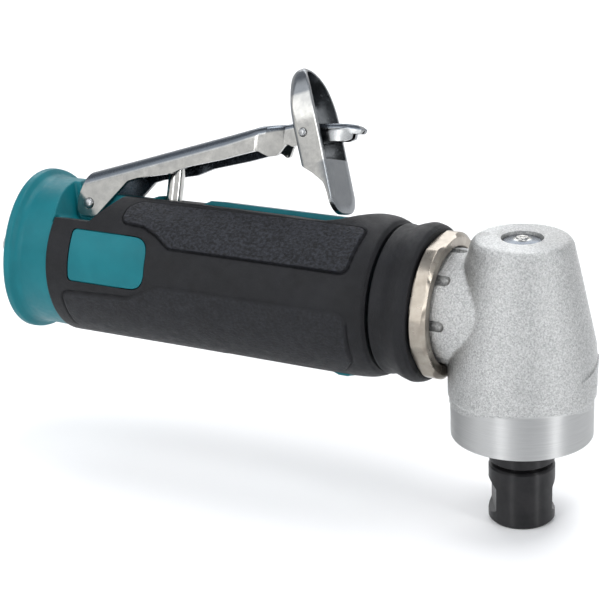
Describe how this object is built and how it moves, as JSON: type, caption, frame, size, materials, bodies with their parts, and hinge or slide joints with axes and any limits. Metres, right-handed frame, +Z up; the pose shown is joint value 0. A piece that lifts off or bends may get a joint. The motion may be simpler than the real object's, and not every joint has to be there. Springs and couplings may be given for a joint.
{
  "type": "right-angle air die grinder",
  "caption": "Right-angle air die grinder: rubber-gripped composite handle with a throttle lever and folding safety lock, cast aluminium angle head, black collet nose.",
  "frame": {"origin": "middle of the bounding box in X and Y, level with the end face of the collet nut, the lowest point", "axes": "+X along the handle towards the angle head, +Z up along the spindle away from the collet, the pictured near side is -Y"},
  "size_m": [0.1602, 0.0422, 0.1021],
  "materials": {
    "teal_composite": "fine moulded texture",
    "grip_rubber": "matt, leather-grained panels",
    "nickel_plate": "warm satin nickel",
    "cast_aluminium": "bead-blasted casting with a turned ring",
    "plated_steel": "plated",
    "brass": "plain",
    "black_oxide": "black oxide, satin",
    "felt": "pressed felt",
    "bright_plate": "bright plated pressed steel",
    "steel": "ground",
    "seal_rubber": "smooth",
    "spring_steel": "drawn wire",
    "bearing_steel": "polished",
    "phenolic": "laminate"
  },
  "bodies": {
    "tool_body": {"motor_housing": "teal_composite", "side_inlay_near": "teal_composite", "side_inlay_far": "teal_composite", "grip_overmould": "grip_rubber", "front_collar": "grip_rubber", "lock_nut": "nickel_plate", "angle_head": "cast_aluminium", "inlet_bushing": "plated_steel", "inlet_screen": "brass", "exhaust_cover": "black_oxide", "silencer_felt": "felt", "lever_pivot_pin": "steel", "stem_bushing": "brass", "valve_seat": "seal_rubber", "valve_spring": "spring_steel", "motor_cylinder": "steel", "rear_end_plate": "steel", "front_end_plate": "steel", "rear_rotor_bearing": "bearing_steel", "front_rotor_bearing": "bearing_steel", "motor_clamp_washer": "spring_steel", "grease_fitting": "bright_plate", "pinion_bearing": "bearing_steel", "upper_spindle_bearing": "bearing_steel", "lower_spindle_bearing": "bearing_steel", "bearing_cap": "black_oxide"},
    "lever": {"throttle_lever": "bright_plate", "lock_pin": "steel", "lock_spring": "spring_steel"},
    "lock": {"safety_lock": "bright_plate"},
    "stem": {"valve_stem": "bright_plate"},
    "tip": {"tip_valve": "steel"},
    "motor_rotor": {"rotor": "steel", "vane_1": "phenolic", "vane_2": "phenolic", "vane_3": "phenolic", "vane_4": "phenolic", "pinion_coupling": "steel", "bevel_pinion": "steel"},
    "output_spindle": {"spindle": "black_oxide", "bevel_gear": "steel", "bearing_spacer": "steel", "collet": "steel", "collet_nut": "black_oxide"}
  },
  "joints": [
    {"name": "lever_press", "type": "hinge", "parent": "tool_body", "child": "lever", "pos_m": [-0.0564, 0.00414, 0.06464], "axis": [0, 0.9511, -0.309], "range_deg": [0, 5], "stiffness_Nm_per_rad": 0.8, "springref_deg": -4.58},
    {"name": "lock_fold", "type": "hinge", "parent": "lever", "child": "lock", "pos_m": [0.0031, 0.0115, 0.08728], "axis": [0, 0.9511, -0.309], "range_deg": [-33, 0], "deforming": ["lock_spring"]},
    {"name": "stem_push", "type": "slide", "parent": "tool_body", "child": "stem", "axis": [0, -0.309, -0.9511], "range_m": [0, 0.00214]},
    {"name": "tip_valve_tilt", "type": "hinge", "parent": "tool_body", "child": "tip", "pos_m": [-0.046, 0.00161, 0.05684], "axis": [0, 0.9511, -0.309], "range_deg": [0, 11], "deforming": ["valve_spring"]},
    {"name": "spindle_spin", "type": "hinge", "parent": "tool_body", "child": "output_spindle", "pos_m": [0.0625, 0, 0.0519], "axis": [0, 0, 1], "continuous": true},
    {"name": "rotor_spin", "type": "hinge", "parent": "tool_body", "child": "motor_rotor", "pos_m": [0.0625, 0, 0.0519], "axis": [1, 0, 0], "continuous": true}
  ],
  "couplings": [
    {"joint": "lock_fold", "follows": "lever_press", "ratio": -6.6},
    {"joint": "stem_push", "follows": "lever_press", "m_per_rad": 0.0245},
    {"joint": "tip_valve_tilt", "follows": "lever_press", "ratio": 2.2},
    {"joint": "rotor_spin", "follows": "spindle_spin", "ratio": -1.5}
  ]
}
